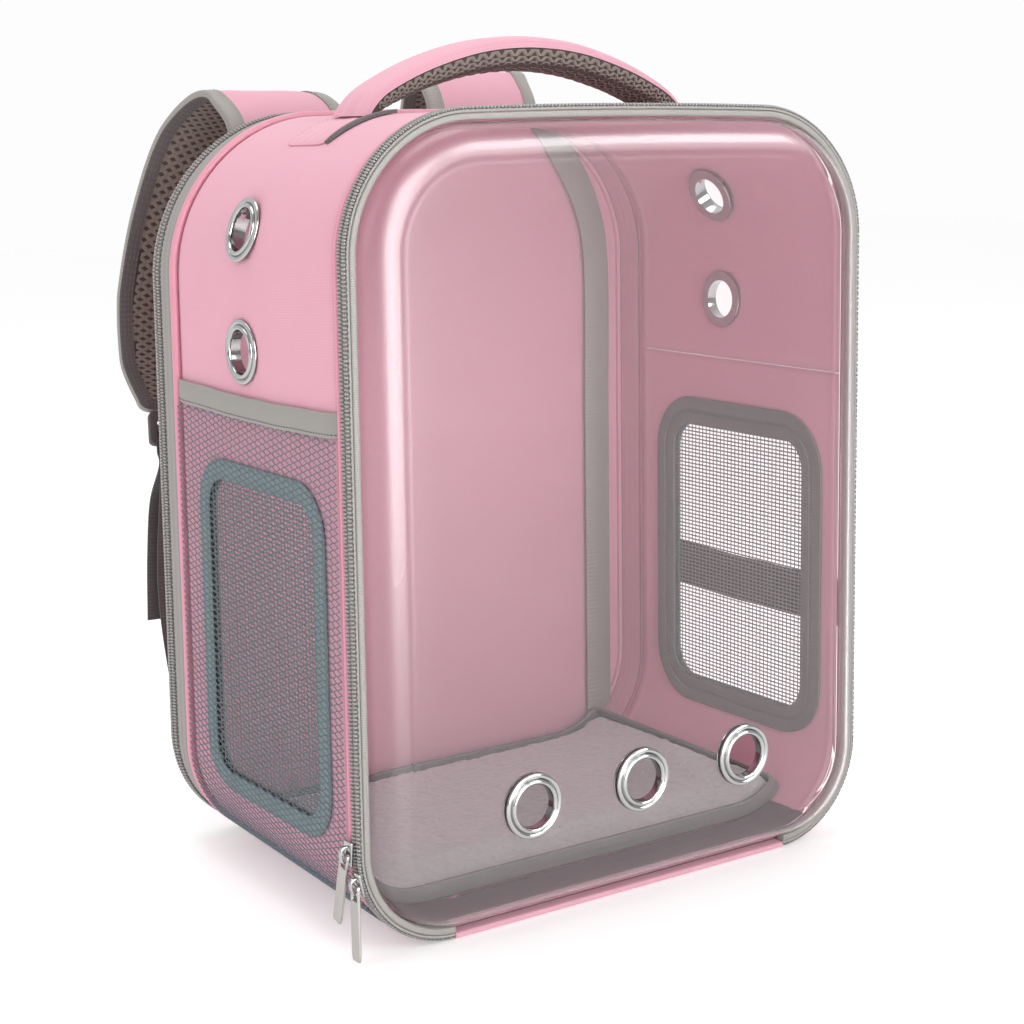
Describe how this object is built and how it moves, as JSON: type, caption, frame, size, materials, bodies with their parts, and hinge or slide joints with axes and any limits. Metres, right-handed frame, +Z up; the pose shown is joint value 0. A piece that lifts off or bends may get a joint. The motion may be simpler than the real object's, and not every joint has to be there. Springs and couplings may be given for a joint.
{
  "type": "pet carrier backpack",
  "caption": "Soft box-shaped pet carrier backpack with a clear domed zip door, mesh side vents, metal air holes, top handle and padded shoulder straps.",
  "frame": {"origin": "middle of the base, on the surface that the bag stands on", "axes": "+Z up, -Y out of the clear door, +Y towards the wearer's back, +X to the right as seen facing the door"},
  "size_m": [0.3378, 0.3315, 0.457],
  "materials": {
    "pink_cloth": "plain woven polyester with a soft sheen",
    "pink_piping": "tightly rolled woven cloth",
    "grey_tape": "ribbed binding tape",
    "grey_zip": "nylon coil on woven tape",
    "dark_webbing": "ribbed polyester webbing",
    "air_mesh": "open spacer knit",
    "pocket_mesh": "diamond netting",
    "vent_tape": "ribbed binding tape",
    "white_net": "square netting",
    "clear_plastic": "vacuum formed clear sheet",
    "polished_steel": "polished plating",
    "buckle_plastic": "fine moulded texture",
    "plush": "short plush pile"
  },
  "bodies": {
    "bag": {"top_panel": "pink_cloth", "left_side_panel": "pink_cloth", "right_side_panel": "pink_cloth", "base_panel": "pink_cloth", "back_panel": "pink_cloth", "front_piping": "pink_piping", "back_piping": "pink_piping", "left_window_border": "vent_tape", "right_window_border": "vent_tape", "left_window_net": "white_net", "right_window_net": "white_net", "left_window_lining": "grey_tape", "right_window_lining": "grey_tape", "left_pocket_mesh": "pocket_mesh", "left_pocket_binding": "grey_tape", "right_side_band": "dark_webbing", "left_upper_eyelet": "polished_steel", "left_lower_eyelet": "polished_steel", "right_upper_eyelet": "polished_steel", "right_lower_eyelet": "polished_steel", "left_door_eyelet": "polished_steel", "middle_door_eyelet": "polished_steel", "right_door_eyelet": "polished_steel", "back_seam_tape": "grey_tape", "window": "clear_plastic", "door_binding": "grey_tape", "door_hinge": "pink_cloth", "front_zip": "grey_zip", "back_zip": "grey_zip", "back_hinge": "pink_cloth", "upper_zip_slider": "polished_steel", "lower_zip_slider": "polished_steel", "mat": "plush", "mat_binding": "grey_tape", "handle_cover": "pink_cloth", "handle_pad": "air_mesh", "left_handle_tab": "pink_cloth", "right_handle_tab": "pink_cloth", "left_strap_cover": "pink_cloth", "left_strap_pad": "air_mesh", "left_strap_binding": "grey_tape", "left_adjuster": "buckle_plastic", "left_webbing": "dark_webbing", "left_webbing_tail": "dark_webbing", "right_strap_cover": "pink_cloth", "right_strap_pad": "air_mesh", "right_strap_binding": "grey_tape", "right_adjuster": "buckle_plastic", "right_webbing": "dark_webbing", "right_webbing_tail": "dark_webbing"},
    "upper_zip_pull": {"upper_zip_pull": "polished_steel"},
    "lower_zip_pull": {"lower_zip_pull": "polished_steel"}
  },
  "joints": [
    {"name": "upper_pull_swing", "type": "hinge", "parent": "bag", "child": "upper_zip_pull", "pos_m": [-0.16905, -0.1049, 0.05599], "axis": [0, 1, 0], "range_deg": [0, 150]},
    {"name": "lower_pull_swing", "type": "hinge", "parent": "bag", "child": "lower_zip_pull", "pos_m": [-0.16713, -0.111, 0.04103], "axis": [0, 1, 0], "range_deg": [0, 150]}
  ]
}
